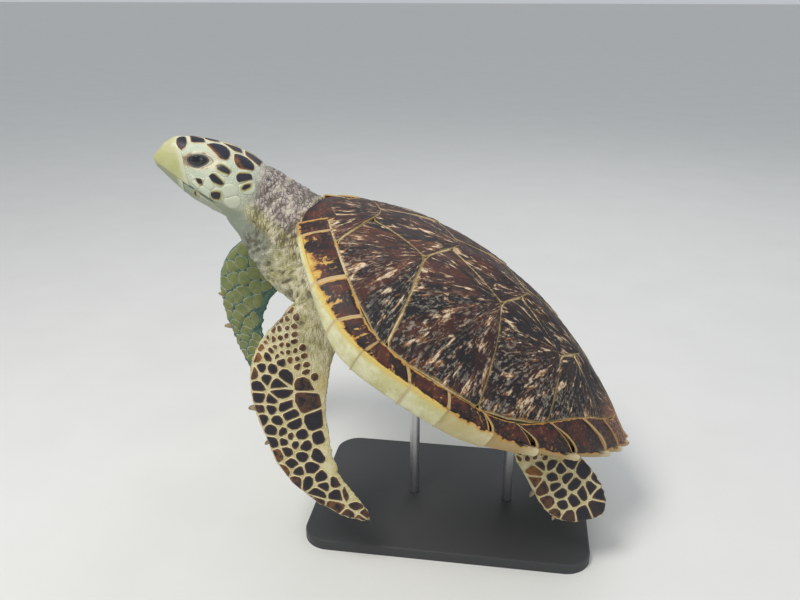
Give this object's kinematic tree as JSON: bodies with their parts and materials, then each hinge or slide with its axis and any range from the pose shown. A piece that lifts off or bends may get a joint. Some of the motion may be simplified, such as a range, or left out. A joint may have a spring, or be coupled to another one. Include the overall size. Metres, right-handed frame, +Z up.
{
  "type": "sea turtle model",
  "caption": "Life-size hawksbill sea turtle in a swimming pose, head raised and flippers swept down, held over a flat base by steel rods.",
  "frame": {"origin": "centre of the underside of the stand's base", "axes": "+X towards the turtle's head, +Y to its left, +Z up; -Z out of the base's underside"},
  "size_m": [0.7151, 0.4578, 0.6043],
  "materials": {
    "carapace": "overlapping horn scutes, near-black brown streaked with amber and cream, satin gloss",
    "claw_front_left": "pale translucent horn, satin",
    "claw_front_left_2": "pale translucent horn, satin",
    "claw_front_right": "pale translucent horn, satin",
    "claw_front_right_2": "pale translucent horn, satin",
    "claw_rear_left": "pale translucent horn, satin",
    "claw_rear_left_2": "pale translucent horn, satin",
    "claw_rear_right": "pale translucent horn, satin",
    "claw_rear_right_2": "pale translucent horn, satin",
    "eye_left": "dark, wet",
    "eye_right": "dark, wet",
    "front_arm_left": "blackish scales with cream borders",
    "front_arm_right": "olive scales with paler borders",
    "front_blade_left": "blackish-brown scales with cream-yellow borders",
    "front_blade_right": "olive scales with paler borders",
    "head": "blue-black plates with cream borders, pale spotted cheeks",
    "lower_beak": "olive-yellow horn, satin",
    "lower_jaw": "pale mint-cream skin with small dark spots",
    "neck": "pale grey-beige creased skin with fine dark mottling",
    "plastron": "pale yellow horn, satin",
    "rear_flipper_left": "blackish scales with yellow-cream borders",
    "rear_flipper_right": "blackish scales with yellow-cream borders",
    "stand_base": "dark satin paint",
    "stand_rod_front": "brushed",
    "stand_rod_rear": "brushed",
    "tail": "pale creased skin",
    "trunk": "pale creased skin",
    "upper_beak": "olive-yellow horn, satin"
  },
  "bodies": {
    "root": {"carapace": "carapace", "claw_front_left": "claw_front_left", "claw_front_left_2": "claw_front_left_2", "claw_front_right": "claw_front_right", "claw_front_right_2": "claw_front_right_2", "claw_rear_left": "claw_rear_left", "claw_rear_left_2": "claw_rear_left_2", "claw_rear_right": "claw_rear_right", "claw_rear_right_2": "claw_rear_right_2", "eye_left": "eye_left", "eye_right": "eye_right", "front_arm_left": "front_arm_left", "front_arm_right": "front_arm_right", "front_blade_left": "front_blade_left", "front_blade_right": "front_blade_right", "head": "head", "lower_beak": "lower_beak", "lower_jaw": "lower_jaw", "neck": "neck", "plastron": "plastron", "rear_flipper_left": "rear_flipper_left", "rear_flipper_right": "rear_flipper_right", "stand_base": "stand_base", "stand_rod_front": "stand_rod_front", "stand_rod_rear": "stand_rod_rear", "tail": "tail", "trunk": "trunk", "upper_beak": "upper_beak"}
  },
  "joints": []
}
